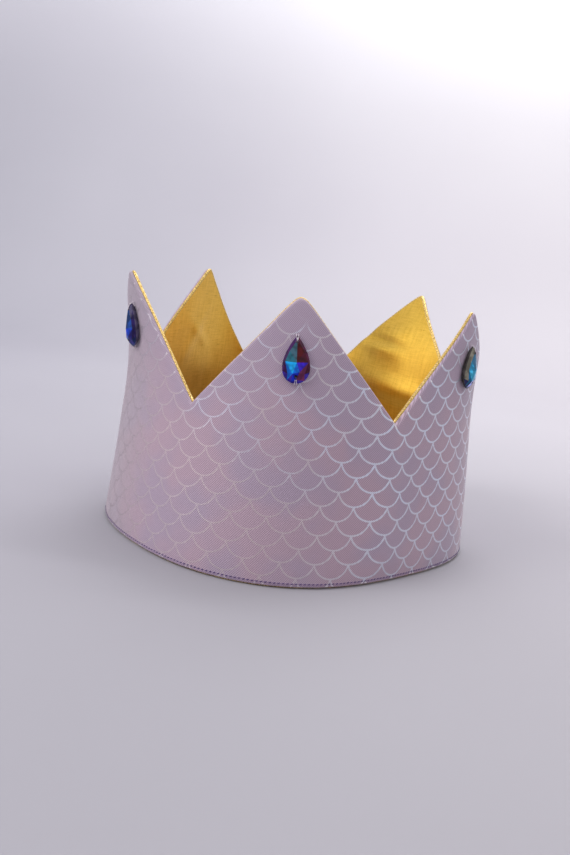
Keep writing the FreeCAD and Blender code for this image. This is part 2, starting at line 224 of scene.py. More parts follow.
class Wall:
    """The band's wall: a place for each length along the ring, depth from the outer face and height."""
    STEPS = 2880

    def __init__(self, shape):
        self.shape = shape
        self.points = list(shape.points)
        angles = [2 * math.pi * k / self.STEPS - math.pi for k in range(self.STEPS + 1)]
        ring = [self.outline(angle) for angle in angles]
        self.marks = [0.0]
        for first, second in zip(ring, ring[1:]):
            self.marks.append(self.marks[-1] + (second - first).length)
        self.perimeter = self.marks[-1]
        front = self.marks[self.STEPS // 2]
        self.marks = [mark - front for mark in self.marks]
        self.ring = ring
        headings = [(ring[(k + 1) % self.STEPS] - ring[(k - 1) % self.STEPS]).normalized()
                    for k in range(self.STEPS)]
        headings.append(headings[0])
        self.outward = [Vector((heading.y, -heading.x, 0)) for heading in headings]
        self.pitch = (self.perimeter - shape.elastic_span) / len(self.points)
        self.end = self.pitch * len(self.points) / 2
        # The shift onto the solids is measured with nothing shifted yet
        self.centre = Vector((0, 0, 0))
        self.centre = self.cad_shift()

    def outline(self, angle):
        shape = self.shape
        bulge = shape.oval_front * math.cos(2 * angle) + shape.oval_slant * math.sin(2 * angle)
        bulge += shape.egg_front * math.cos(3 * angle) + shape.egg_side * math.sin(3 * angle)
        bulge += shape.square_front * math.cos(4 * angle)
        reach = shape.ring_radius * (1 + bulge)
        return Vector((reach * math.sin(angle), -reach * math.cos(angle), 0))

    def cad_shift(self):
        """Middle of the outer face's box here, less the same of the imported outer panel."""
        low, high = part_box("outer_panel")
        columns = [self.pitch * k / 60 for k in range(-150, 151)]
        places = [self.place(along, 0, height) for along in columns
                  for height in (self.shape.hem_reveal, self.edge(along) - self.shape.reveal)]
        spans = [(min(p[axis] for p in places) + max(p[axis] for p in places)) / 2 for axis in (0, 1)]
        return Vector((spans[0] - (low[0] + high[0]) / 2, spans[1] - (low[1] + high[1]) / 2, 0))

    def ring_at(self, along):
        """Point and outward direction on the floor at a length along the ring."""
        half = self.perimeter / 2
        along = (along + half) % self.perimeter - half
        along = min(max(along, self.marks[0]), self.marks[-1])
        step = min(bisect_right(self.marks, along) - 1, self.STEPS - 1)
        share = (along - self.marks[step]) / (self.marks[step + 1] - self.marks[step])
        point = self.ring[step].lerp(self.ring[step + 1], share)
        return point, self.outward[step].lerp(self.outward[step + 1], share).normalized()

    def flare(self, along):
        spot = min(max(along / self.pitch, -2.0), 2.0) + 2.0
        low = min(int(spot), len(self.points) - 2)
        ease = (1 - math.cos(math.pi * (spot - low))) / 2
        first, second = self.points[low].flare, self.points[low + 1].flare
        return first + (second - first) * ease

    def place(self, along, depth, height):
        shape = self.shape
        point, outward = self.ring_at(along)
        bent = max(0.0, height - shape.valley_height + shape.bend_drop)
        lift = shape.band_lean * height + self.flare(along) * bent * bent / shape.bend_reach
        return point + outward * (lift - depth) + Vector((0, 0, height)) - self.centre

    def tip(self, index):
        return (index - 2) * self.pitch + self.points[index].shift

    def form_at(self, along):
        """Share of the way from a point's tip to its valley, and that half's width, rise and bluntness."""
        index = min(max(round(along / self.pitch), -2), 2) + 2
        tip = self.tip(index)
        side = 1 if along > tip else -1
        width = abs((index - 2 + side / 2) * self.pitch - tip)
        rise = self.shape.point_rise + self.points[index].rise
        blunt = self.points[index].rounding * 2 / self.pitch
        return min(abs(along - tip) / width, 1.0), width, rise, blunt

    def edge(self, along):
        """Height of the cut edge."""
        share, _, rise, blunt = self.form_at(along)
        fall = math.hypot(share, blunt) / math.hypot(1, blunt)
        return self.shape.valley_height + rise * (1 - fall)

    def steepness(self, along):
        """How much longer a step straight down is than one square to the edge."""
        share, width, rise, blunt = self.form_at(along)
        return math.hypot(1, rise / width * share / math.hypot(share, blunt))

    def rim_place(self, along, height, depth):
        """Millimetres from the cut edge and from the hem."""
        return (self.edge(along) - height) / self.steepness(along) / MM, height / MM

    def columns(self, a_side, crowding=1.4):
        """Lengths along the band from end to end, closer together at the tips."""
        found = []
        for index in range(len(self.points)):
            tip = self.tip(index)
            for step in range(-a_side, a_side + 1):
                side = 1 if step > 0 else -1
                valley = (index - 2 + side / 2) * self.pitch
                share = (abs(step) / a_side) ** crowding
                found.append(tip + (valley - tip) * share)
            if index < len(self.points) - 1:
                found.pop()
        return found

    def seat(self, index):
        """Matrix of a stone: its back on the outer cloth, its tip up."""
        shape, point = self.shape, self.points[index]
        along = self.tip(index) + point.stone_shift
        height = shape.valley_height + shape.stone_height + point.stone_lift
        half = shape.stone_length / 2
        high, low = self.place(along, 0, height + half), self.place(along, 0, height - half)
        up = (high - low).normalized()
        side = (self.place(along + half, 0, height) - self.place(along - half, 0, height)).normalized()
        outward = side.cross(up).normalized()
        side = up.cross(outward)
        middle = (high + low) / 2
        proud = max(0.0, (self.place(along, 0, height) - middle).dot(outward))
        middle += outward * (proud + 0.05 * MM)
        matrix = Matrix((side, up, outward)).transposed().to_4x4()
        matrix.translation = middle
        return matrix @ Matrix.Rotation(point.stone_turn, 4, "Z")


# The band's soft bend beside the front point: its place along the band, its reach and its height
BEND_ALONG, BEND_REACH, BEND_LIFT = 49 * MM, 12 * MM, 0.7 * MM


def ripple(along, height):
    """Soft unevenness of the outer cloth, its puckers at the hem's stitches and the band's bend."""
    wide = noise.noise(Vector((along * 19, height * 16, 3.1)))
    fine = noise.noise(Vector((along * 62, height * 40, 7.7)))
    pucker = noise.noise(Vector((along * 210, height * 30, 1.3)))
    near_hem = math.exp(-abs(height - HEM_ROW) / (5 * MM))
    groove = math.exp(-((height - HEM_ROW) / (0.7 * MM)) ** 2)
    bend = math.exp(-abs(along - BEND_ALONG) / BEND_REACH) * smooth(height / BEND_REACH)
    return MM * (0.5 * wide + 0.16 * fine + 0.22 * near_hem * pucker - 0.22 * groove) + BEND_LIFT * bend


# Creases of the lining: from one (along, height) to another, width and depth, all in millimetres
CREASES = [
    ((231, 87.6), (188, 84.6), 1.7, -1.0),
    ((228, 83.4), (186, 80.4), 3.0, 0.8),
    ((216, 92.0), (186, 90.0), 3.5, 0.5),
    ((228, 66.5), (158, 60.0), 6.0, 1.9),
    ((-205, 70), (-178, 88), 3.0, 0.5),
    ((-176, 60), (-200, 96), 4.0, 0.4),
    ((60, 40), (100, 52), 4.0, 0.5),
    ((-90, 40), (-60, 55), 4.0, 0.5),
]


def creases(along, height):
    """Lift of the lining at its creases."""
    spot = Vector((along / MM, height / MM))
    lift = 0.0
    for start, end, width, depth in CREASES:
        start, end = Vector(start), Vector(end)
        run = end - start
        share = (spot - start).dot(run) / run.length_squared
        away = (spot - start - run * min(max(share, 0.0), 1.0)).length / width
        fade = smooth(1 - abs(share - 0.5) * 1.6)
        lift += depth * math.exp(-away * away) * fade
    return lift * MM


def lining_ripple(along, height):
    wide = noise.noise(Vector((along * 24, height * 30, 11.0)))
    fine = noise.noise(Vector((along * 80, height * 90, 5.0)))
    return MM * (0.35 * wide + 0.12 * fine) + creases(along, height)


def mesh_object(bm, name, material, smooth_faces=True):
    """Object from a bmesh, which is used up."""
    mesh = bpy.data.meshes.new(name)
    for face in bm.faces:
        face.smooth = smooth_faces
    bm.to_mesh(mesh)
    bm.free()
    mesh.materials.append(material)
    made = bpy.data.objects.new(name, mesh)
    bpy.context.collection.objects.link(made)
    return made


def finish_mesh(bm, name, material, smooth_faces=True):
    """Piece from a bmesh, riding on the crown's body."""
    piece = mesh_object(bm, name, material, smooth_faces)
    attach(piece, BODY)
    return piece


def solidify(piece, thickness):
    modifier = piece.modifiers.new("thickness", "SOLIDIFY")
    modifier.thickness = thickness
    modifier.offset = -1


def arc(centre, radius, start, end, steps):
    """(depth, height) points of an arc, angles in degrees from the inward direction."""
    found = []
    for k in range(steps + 1):
        angle = math.radians(start + (end - start) * k / steps)
        found.append((centre[0] + radius * math.cos(angle), centre[1] + radius * math.sin(angle)))
    return found


# Height of the print's row 0 at the front
PRINT_LEVEL = 33.1 * MM
# Where the print lies on the band: length along it, column of scales there and rise of the rows,
# lengths in millimetres. The cloth is cut on a shallow curve and pulled askew by the sewing.
PRINT_KNOTS = [(-245, -16.4, -6.0), (-44, -2.0, -1.2), (-14, 0.0, -0.3), (0.3, 1.0, 0.0), (14, 2.0, -0.3),
               (29, 3.0, -0.8), (46.5, 4.0, -1.7), (53, 4.5, -2.0), (59.5, 5.0, -1.4), (72, 6.0, 0.2),
               (85, 7.0, 1.8), (245, 19.0, 5.0)]


def print_place(along, height, pattern):
    """Place on the print, counted in columns and rows of scales."""
    spot = along / MM
    k = max(1, min(bisect_right([knot[0] for knot in PRINT_KNOTS], spot), len(PRINT_KNOTS) - 1))
    (start, column, rise), (end, next_column, next_rise) = PRINT_KNOTS[k - 1], PRINT_KNOTS[k]
    share = (spot - start) / (end - start)
    row = (height - PRINT_LEVEL - (rise + (next_rise - rise) * share) * MM) / pattern.row
    return column + (next_column - column) * share, row


def sheet_mesh(wall, columns, rows, profile, lift):
    """Grid bent over the band: profile(along) gives the (depth, height) of each row there, and
    lift(along, depth, height) how far the cloth moves inward."""
    bm = bmesh.new()
    bmesh.ops.create_grid(bm, x_segments=len(columns) - 1, y_segments=rows, size=1.0)
    places = bm.verts.layers.float_vector.new("place")
    profiles = [profile(along) for along in columns]
    for vert in bm.verts:
        column = round((vert.co.x + 1) / 2 * (len(columns) - 1))
        row = round((vert.co.y + 1) / 2 * rows)
        depth, height = profiles[column][row]
        along = columns[column]
        vert[places] = (along, height, depth)
        vert.co = wall.place(along, depth + lift(along, depth, height), height)
    return bm, places


def write_uv(bm, places, mapping, name="cloth"):
    layer = bm.loops.layers.uv.new(name)
    for face in bm.faces:
        for loop in face.loops:
            along, height, depth = loop.vert[places]
            loop[layer].uv = mapping(along, height, depth)


def write_band_uv(bm, places, wall):
    """Two maps in millimetres: along and up the band, and from the cut edge and the hem."""
    write_uv(bm, places, lambda along, height, depth: (along / MM, (height + depth) / MM), "band")
    write_uv(bm, places, wall.rim_place, "rim")


class Signal:
    """Output of a node, to be added and multiplied like a number."""

    def __init__(self, recipe, socket):
        self.recipe = recipe
        self.socket = socket

    def __add__(self, other):
        return self.recipe.math("ADD", self, other)

    def __sub__(self, other):
        return self.recipe.math("SUBTRACT", self, other)

    def __mul__(self, other):
        return self.recipe.math("MULTIPLY", self, other)

    def __abs__(self):
        return self.recipe.math("ABSOLUTE", self)


class Recipe:
    """A node material, put together in small steps. Lengths from the UV maps are in millimetres."""

    def __init__(self, name, roughness, metallic=0.0):
        self.material = bpy.data.materials.new(name)
        self.material.use_nodes = True
        self.tree = self.material.node_tree
        self.shader = self.tree.nodes["Principled BSDF"]
        self.set("Roughness", roughness)
        self.set("Metallic", metallic)

    def feed(self, socket, value):
        if isinstance(value, Signal):
            self.tree.links.new(value.socket, socket)
        elif hasattr(value, "__len__") and len(value) == 3 and len(socket.default_value) == 4:
            socket.default_value = (*value, 1.0)
        else:
            socket.default_value = value

    def set(self, socket, value):
        self.feed(self.shader.inputs[socket], value)

    def node(self, kind, inputs=None, output=0, **properties):
        """Output of a new node, whose inputs are fed by number or by name."""
        made = self.tree.nodes.new(kind)
        for key, value in properties.items():
            setattr(made, key, value)
        for key, value in (inputs or {}).items():
            self.feed(made.inputs[key], value)
        return Signal(self, made.outputs[output])

    def math(self, operation, *values, clamp=False):
        return self.node("ShaderNodeMath", dict(enumerate(values)), operation=operation, use_clamp=clamp)

    def least(self, first, second):
        return self.math("MINIMUM", first, second)

    def most(self, first, second):
        return self.math("MAXIMUM", first, second)

    def mix(self, share, first, second):
        """Colour between two: a mix node has its colours at inputs 6 and 7 and output 2."""
        return self.node("ShaderNodeMix", {0: share, 6: first, 7: second}, 2, data_type="RGBA")

    def band(self, value, start, end):
        """0 up to start, 1 from end on, smooth between; start may be the larger one."""
        return self.node("ShaderNodeMapRange", {"Value": value, "From Min": start, "From Max": end},
                         interpolation_type="SMOOTHSTEP")

    def parts(self, vector):
        """The three numbers of a vector."""
        split = self.node("ShaderNodeSeparateXYZ", {0: vector}).socket.node
        return [Signal(self, output) for output in split.outputs]

    def uv(self, name="cloth"):
        return self.parts(self.node("ShaderNodeUVMap", uv_map=name))[:2]

    def object_place(self):
        return self.node("ShaderNodeTexCoord", output="Object")

    def vector(self, x, y):
        return self.node("ShaderNodeCombineXYZ", {0: x, 1: y})

    def noise(self, vector, scale, detail=2.0, roughness=0.5):
        return self.node("ShaderNodeTexNoise", {"Vector": vector, "Scale": scale, "Detail": detail,
                                                "Roughness": roughness})

    def wave(self, value, period):
        """Sine of a length, from 0 to 1 over a period."""
        return self.math("SINE", value * (2 * math.pi / period)) * 0.5 + 0.5

    def bump(self, height, strength, distance):
        self.set("Normal", self.node("ShaderNodeBump", {"Strength": strength, "Distance": distance,
                                                        "Height": height}))


def scale_arcs(recipe, column, row, pattern, offset):
    """Distance in millimetres from the middle of the nearest printed arc of every second row."""
    width, height = pattern.column / MM, pattern.row / MM
    half = width / 2
    radius = (half * half + height * height) / (2 * height)
    overlap = 0.14
    across = recipe.math("WRAP", column + offset / 2, 0.5, -0.5) * width
    up = recipe.math("WRAP", row + offset, 2 - overlap, -overlap)
    rise = up * height - radius
    gap = abs(recipe.math("SQRT", across * across + rise * rise) - radius)
    above_the_arc = recipe.math("GREATER_THAN", up, 1.04)
    return gap + above_the_arc * 10.0


def printed_cloth(pattern):
    """Lilac twill with thin pearly foil lines in the form of fish scales."""
    recipe = Recipe("printed_cloth", 0.62)
    column, row = recipe.uv()
    along, height = recipe.uv("band")
    from_cut, from_hem = recipe.uv("rim")
    from_edge = recipe.least(from_cut, from_hem)
    x, y = column * (pattern.column / MM), row * (pattern.row / MM)
    place = recipe.vector(x, y)

    # Twill: ribs that waver a little, crossed by finer yarns
    sine, cosine = math.sin(pattern.rib_angle), math.cos(pattern.rib_angle)
    rib = recipe.wave(x * sine - y * cosine + recipe.noise(place, 0.5) * 0.4, pattern.rib / MM)
    yarn = recipe.wave(x * cosine + y * sine, pattern.yarn / MM)
    weave = rib * 0.75 + yarn * 0.25
    speckle = recipe.noise(place, 2.2, 3.0, 0.7)

    # Cloth: pinker in clouds below the tips, greyer round the left point as painted sheen, darker at the
    # hem's seam
    left = recipe.band(abs(along + 110.0), 50.0, 12.0)
    clouds = recipe.band(recipe.noise(place, 0.035), 0.38, 0.60) * recipe.band(height, 95.0, 60.0)
    body = recipe.mix(clouds, pattern.lilac, pattern.pink)
    body = recipe.mix(left * 0.6, body, pattern.left_sheen)
    # Painted shade in the twill's hollows, where the weave is low
    relief = recipe.math("ADD", weave * 0.95, speckle * 0.22, clamp=True)
    cloth = recipe.mix(relief, pattern.twill_hollow_shade, body)
    seam = recipe.band(abs(from_hem - 1.75), 0.75, 0.35)
    cloth = recipe.mix(seam * 0.28, cloth, pattern.seam)

    # Foil lines: fuller, wider and more metallic away from the left front as painted reflection, ragged on
    # the weave, worn off at the cut edges, and taken off at the front tip as painted dark reflection
    full = recipe.band(abs(along + 40.0), 30.0, 85.0)
    half = full * 0.09 + pattern.line / MM / 2
    arcs = recipe.least(*(scale_arcs(recipe, column, row, pattern, offset) for offset in (0, 1)))
    foil = recipe.band(arcs + speckle * 0.34 - weave * 0.30 - half, 0.14, -0.12)
    dark_front_tip = recipe.band(height, 97.0, 101.0) * recipe.band(abs(along), 22.0, 18.0)
    worn_edges_and_dark_tip = recipe.most(dark_front_tip, recipe.band(from_edge, 1.0, 0.7))
    foil = foil * (worn_edges_and_dark_tip * -0.9 + 1.0)

    # Colour of the foil: cream in patches and low down on the left, darker on the left as painted
    # reflection, with painted glints, most at the folds
    patches = recipe.band(recipe.noise(place, 0.05), 0.40, 0.60)
    warm = recipe.most(patches, recipe.band(along * 0.35 + height, 52.0, 32.0))
    shine = recipe.mix(warm * (full * -0.8 + 1.0), pattern.foil_cool, pattern.foil_warm)
    shine = recipe.mix(left, shine, pattern.foil_dark_reflection)
    fold = recipe.band(abs(from_edge - 1.35), 0.45, 0.15)
    glint = recipe.most(recipe.band(recipe.noise(place, 3.5, 1.0), 0.60, 0.70), fold)
    shine = recipe.mix(glint * (left * -0.2 + 1.0), shine, pattern.glint)

    recipe.set("Base Color", recipe.mix(foil * (full * 0.38 + 0.36), cloth, shine))
    recipe.set("Metallic", foil * (full * 0.35 + 0.35))
    recipe.set("Roughness", foil * -0.34 + 0.68)
    recipe.set("Sheen Weight", 0.32)
    recipe.set("Sheen Roughness", 0.4)
    recipe.bump(weave + foil * 0.4, 0.5, 0.12 * MM)
    return recipe.material


def gold_lining(pattern):
    """Gold metallic cloth with a fine cross weave and pulled threads, like a braid at its rolled edges,
    where bright beads are painted glints with painted shade between them.
    """
    recipe = Recipe("gold_lining", 0.30, 0.92)
    x, y = recipe.uv("band")
    place = recipe.vector(x, y)
    warp = recipe.wave(x + recipe.noise(place, 0.4) * 0.5, 0.55)
    weft = recipe.wave(y + recipe.noise(place, 0.3) * 0.5, 0.50)
    threads = (warp + weft) * 0.5
    streak = recipe.noise(recipe.vector(x * 0.10, y), 1.3, 3.0, 0.65)
    upright = recipe.noise(recipe.vector(x, y * 0.10), 0.8, 3.0, 0.6)
    cloudy = recipe.noise(place, 0.06, 3.0)
    shade = threads * 0.45 + streak * 0.45 + upright * 0.40 + cloudy * 0.20
    face = recipe.mix(recipe.band(shade, 0.35, 0.95), pattern.gold_dark, pattern.gold)
    rolled = recipe.band(recipe.least(*recipe.uv("rim")), 1.3, 0.9)
    # Painted glints in beads along the roll, with painted shade between them
    bead_glints = recipe.band(recipe.noise(recipe.vector(x * 0.8, y), 2.4, 1.0), 0.42, 0.58)
    braid = recipe.mix(bead_glints, pattern.braid_shade, pattern.braid)
    recipe.set("Base Color", recipe.mix(rolled * 0.75, face, braid))
    recipe.set("Metallic", rolled * -0.45 + 0.92)
    recipe.set("Roughness", streak * 0.18 + 0.22)
    recipe.bump(threads + streak * 1.2, 0.26, 0.13 * MM)
    return recipe.material


def darker(colour, share):
    return tuple(share * channel for channel in colour)


def fibres(name, roughness, fineness, dark, light, relief, metallic=0.0, detail=2.0, contrast=0.5):
    """Recipe of a material made of fine fibres or plies, in grains of two colours."""
    recipe = Recipe(name, roughness, metallic)
    grain = recipe.noise(recipe.object_place(), fineness, detail, contrast)
    recipe.set("Base Color", recipe.mix(grain, dark, light))
    recipe.bump(grain, 0.4, relief)
    return recipe


def felt():
    return fibres("felt", 0.95, 900.0, (0.62, 0.60, 0.56), (0.80, 0.79, 0.76), 0.3 * MM,
                  detail=4.0, contrast=0.7).material


def sewing_thread(pattern):
    """Purple twisted thread."""
    recipe = fibres("thread", 0.48, 2600.0, darker(pattern.thread, 0.6), pattern.thread, 0.08 * MM)
    recipe.set("Sheen Weight", 0.3)
    return recipe.material


def stone_thread():
    """Pale thread that holds the stones."""
    return fibres("stone_thread", 0.45, 3000.0, (0.42, 0.36, 0.44), (0.78, 0.72, 0.76), 0.08 * MM,
                  metallic=0.1).material


def knitted_elastic(pattern):
    """Flat elastic with ribs along its length and a fine knit across them."""
    recipe = Recipe("elastic", 0.8)
    x, y = recipe.uv()
    knit = recipe.wave(x + recipe.wave(y, ELASTIC_RIB / MM) * 0.4, 0.8)
    specks = recipe.noise(recipe.vector(x, y), 2.0, 3.0, 0.7)
    shade = recipe.math("ADD", knit * 0.5, specks * 0.6, clamp=True)
    recipe.set("Base Color", recipe.mix(shade, darker(pattern.elastic, 0.62), pattern.elastic))
    recipe.set("Sheen Weight", 0.2)
    recipe.bump(shade, 0.5, 0.2 * MM)
    return recipe.material


def crystal():
    """Cut crystal with a coloured foil behind it: each facet's own tint, with its painted reflection and
    painted shade, under a clear polish.
    """
    recipe = Recipe("crystal", 0.22)
    tint = recipe.node("ShaderNodeVertexColor", layer_name="tint")
    depth = recipe.band(recipe.noise(recipe.object_place(), 420.0, 1.0), 0.40, 0.62)
    dim, bright = [recipe.node("ShaderNodeVectorMath", {0: tint, "Scale": share}, operation="SCALE")
                   for share in (0.75, 1.5)]
    recipe.set("Base Color", recipe.mix(depth, dim, bright))
    recipe.set("Specular IOR Level", 0.15)
    recipe.set("Coat Weight", 0.12)
    recipe.set("Coat Roughness", 0.03)
    recipe.bump(depth, 0.05, 0.1 * MM)
    return recipe.material


def steepened(path, top, steep):
    """Path with its heights stretched down from the cut edge, where the edge slants."""
    return [(depth, top + (height - top) * steep) for depth, height in path]


def outer_profile(wall):
    """Outer cloth's path from the hem's seam up to the edge's seam."""
    shape = wall.shape
    roll, seam, reveal, hem = shape.outer_roll, shape.seam_depth, shape.reveal, shape.hem_reveal
    face_steps = 36
    # Where the cloth turns into its seam: depth, and how far past the reveal
    turned = [(seam - 0.06 * MM, 0.1 * MM), (seam, 0.35 * MM)]

    def profile(along):
        top = wall.edge(along)
        steep = wall.steepness(along)
        low = [(depth, hem + past) for depth, past in reversed(turned)]
        low += arc((roll, hem + roll), roll, 270, 180, 6)
        hem_top = hem + roll
        shoulder = top - (reveal + roll) * steep
        face = [(0.0, hem_top + (shoulder - hem_top) * k / face_steps) for k in range(1, face_steps)]
        high = arc((roll, top - reveal - roll), roll, 180, 90, 6)
        high += [(depth, top - reveal - past) for depth, past in turned]
        return low + face + steepened(high, top, steep)
    return profile, len(profile(0.0)) - 1


def lining_profile(wall):
    """Lining's path from the edge's seam over the roll and down the inside to the hem's seam."""
    shape = wall.shape
    seam, depth = shape.seam_depth, shape.wall
    roll = (depth - seam) / 2
    face_steps = 80

    def profile(along):
        top = wall.edge(along)
        steep = wall.steepness(along)
        high = steepened(arc((seam + roll, top - roll), roll, 200, 0, 9), top, steep)
        start, end = top - roll * steep, roll
        face = [(depth, start + (end - start) * k / face_steps) for k in range(1, face_steps)]
        return high + face + arc((seam + roll, roll), roll, 0, -200, 9)
    return profile, len(profile(0.0)) - 1


def outer_lift(along, depth, height):
    """How far the outer cloth's ripple moves it inward, nothing at the turned edges."""
    return -ripple(along, height) * smooth((1.4 * MM - depth) / (1.0 * MM))


def lining_lift(along, depth, height):
    return lining_ripple(along, height) * smooth((depth - 2.0 * MM) / (0.6 * MM))


class CrownPiece:
    """Run of every operator here: it builds its piece on the wall that the settings give."""

    def execute(self, context):
        self.build(Wall(settings().crown_shape))
        return {"FINISHED"}


def soft_cloth(piece, wall, node, turned, margin):
    """Give a sheet of cloth its thickness and hide the solid it stands for. Its height, with turned added
    for its turned edges, and its area, from a mean height with margin added, are worked out and not used."""
    shape = wall.shape
    solidify(piece, shape.cloth)
    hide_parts(node)
    length = 2 * wall.end
    height = max(wall.edge(wall.tip(k)) for k in range(len(POINT_NAMES))) + turned
    area = length * (shape.valley_height + shape.point_rise / 2 + margin)


class CROWN_OT_outer_cloth(CrownPiece, Operator):
    """Lay the printed outer cloth over the band, its edges turned in"""
    bl_idname = "crown.outer_cloth"
    bl_label = "Outer Cloth"

    def build(self, wall):
        pattern = settings().crown_print
        profile, rows = outer_profile(wall)
        bm, places = sheet_mesh(wall, wall.columns(34), rows, profile, outer_lift)
        write_uv(bm, places, lambda along, height, depth: print_place(along, height, pattern))
        write_band_uv(bm, places, wall)
        piece = finish_mesh(bm, "outer_cloth", printed_cloth(pattern))
        soft_cloth(piece, wall, "outer_panel", turned=2 * MM, margin=3.5 * MM)


class CROWN_OT_lining(CrownPiece, Operator):
    """Line the band with gold cloth that rolls over every edge"""
    bl_idname = "crown.lining"
    bl_label = "Gold Lining"

    def build(self, wall):
        profile, rows = lining_profile(wall)
        bm, places = sheet_mesh(wall, wall.columns(34), rows, profile, lining_lift)
        write_band_uv(bm, places, wall)
        piece = finish_mesh(bm, "gold_lining", gold_lining(settings().crown_print))
        soft_cloth(piece, wall, "lining_panel", turned=4 * MM, margin=4.5 * MM)


class CROWN_OT_felt_core(CrownPiece, Operator):
    """Fill the band with felt, a little inside both cloths"""
    bl_idname = "crown.felt_core"
    bl_label = "Felt Core"

    def build(self, wall):
        front, back, low = 0.62 * MM, 2.1 * MM, 1.6 * MM
        steps = 8

        def profile(along):
            top = wall.edge(along) - low * wall.steepness(along)
            up = [(front, low + (top - low) * k / steps) for k in range(steps + 1)]
            down = [(back, top + (low - top) * k / steps) for k in range(steps + 1)]
            return up + down + [(front, low)]

        bm, _ = sheet_mesh(wall, wall.columns(12), 2 * steps + 2, profile, lambda along, depth, height: 0.0)
        bmesh.ops.remove_doubles(bm, verts=bm.verts, dist=1e-7)
        bmesh.ops.holes_fill(bm, edges=bm.edges, sides=0)
        bmesh.ops.recalc_face_normals(bm, faces=bm.faces)
        piece = finish_mesh(bm, "felt_core", felt(), smooth_faces=False)
        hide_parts("stiffener_panel")


class CROWN_OT_elastic(CrownPiece, Operator):
    """Stretch ribbed elastic between the band's two ends"""
    bl_idname = "crown.elastic"
    bl_label = "Back Elastic"

    def build(self, wall):
        shape = wall.shape
        start, end = wall.end - ELASTIC_TAB, wall.perimeter - wall.end + ELASTIC_TAB
        steps, rows = 120, 96
        columns = [start + (end - start) * k / steps for k in range(steps + 1)]
        low = (shape.valley_height - shape.elastic_width) / 2
        thick = shape.elastic_thick * 0.7
        depth_there = (shape.wall - thick) / 2

        def profile(along):
            return [(depth_there, low + shape.elastic_width * k / rows) for k in range(rows + 1)]

        def lift(along, depth, height):
            rib = math.cos((height - low) / ELASTIC_RIB * 2 * math.pi) * 0.16 * MM
            gather = noise.noise(Vector((along * 240, height * 16, 2.0))) * 0.25 * MM
            past_the_ends = min(along - wall.end, end - ELASTIC_TAB - along)
            return (rib + gather) * smooth(past_the_ends / (4 * MM))

        bm, places = sheet_mesh(wall, columns, rows, profile, lift)
        write_uv(bm, places, lambda along, height, depth: (along / MM, height / MM))
        piece = finish_mesh(bm, "ribbed_elastic", knitted_elastic(settings().crown_print))
        solidify(piece, thick)
        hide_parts("back_elastic")
        end - start


def thread_mesh():
    """A short plump run of thread, two long and two thick, to be laid many times."""
    bm = bmesh.new()
    bmesh.ops.create_uvsphere(bm, u_segments=8, v_segments=6, radius=1.0)
    mesh = bpy.data.meshes.new("thread_run")
    bm.to_mesh(mesh)
    bm.free()
    return mesh


def lay_thread(bm, pattern_mesh, start, end, outward, radius):
    """One run of thread from start to end, thinner where it dips into the cloth."""
    run = end - start
    along = run.normalized()
    across = outward.cross(along).normalized()
    turn = Matrix((across, along.cross(across), along)).transposed().to_4x4()
    laid = pattern_mesh.copy()
    laid.transform(Matrix.Translation((start + end) / 2) @ turn
                   @ Matrix.Diagonal((radius, radius, run.length / 2, 1.0)))
    bm.from_mesh(laid)
    bpy.data.meshes.remove(laid)


def stitch_row(bm, wall, first, last):
    """Stitches between two (along, height) places, a little askew, on the outer cloth and the lining."""
    shape = wall.shape
    run = thread_mesh()
    start, end = Vector(first), Vector(last)
    count = int((end - start).length // shape.stitch_pitch)
    step = (end - start) / count
    reach = step.normalized() * shape.stitch_length / 2
    skew = Vector((-reach.y, reach.x)) * math.tan(shape.stitch_skew)
    for k in range(count):
        middle = start + step * (k + 0.5)
        ends = [middle - reach - skew, middle + reach + skew]
        outward = wall.ring_at(middle.x)[1]
        sunk = 0.3 * shape.stitch_radius
        outside = [wall.place(a, -ripple(a, z) - sunk, z) for a, z in ends]
        inside = [wall.place(a, shape.wall + lining_ripple(a, z) + sunk, z) for a, z in ends]
        lay_thread(bm, run, *outside, outward, shape.stitch_radius)
        lay_thread(bm, run, *inside, outward, shape.stitch_radius)
    bpy.data.meshes.remove(run)


def sew(wall, name, node, rows):
    """Piece of purple stitches, in rows from one (along, height) place to another."""
    bm = bmesh.new()
    for first, last in rows:
        stitch_row(bm, wall, first, last)
    piece = finish_mesh(bm, name, sewing_thread(settings().crown_print))
    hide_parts(node)


class CROWN_OT_hem_stitches(CrownPiece, Operator):
    """Sew the purple row along the hem"""
    bl_idname = "crown.hem_stitches"
    bl_label = "Hem Stitches"

    def build(self, wall):
        end, height = wall.end - wall.shape.end_inset, wall.shape.stitch_height
        sew(wall, "hem_stitches", "hem_stitching", [((-end, height), (end, height))])


class CROWN_OT_end_stitches(CrownPiece, Operator):
    """Sew the rows that hold the elastic in the band's ends"""
    bl_idname = "crown.end_stitches"
    bl_label = "End Stitches"

    def build(self, wall):
        shape = wall.shape
        end = wall.end - shape.end_inset
        low, high = shape.stitch_height + shape.stitch_pitch, shape.valley_height - shape.stitch_pitch
        sew(wall, "end_stitches", "end_stitching", [((x, low), (x, high)) for x in (-end, end)])


def pear(turn, shape, share=1.0):
    """Corner of a stone's outline, drawn in by a share, the turn counted from its tip."""
    widest = 4 / math.sqrt(27)
    across = math.sin(turn) * abs(math.sin(turn / 2)) / widest / 2
    return Vector((across * shape.stone_width * share, math.cos(turn) / 2 * shape.stone_length * share, 0))


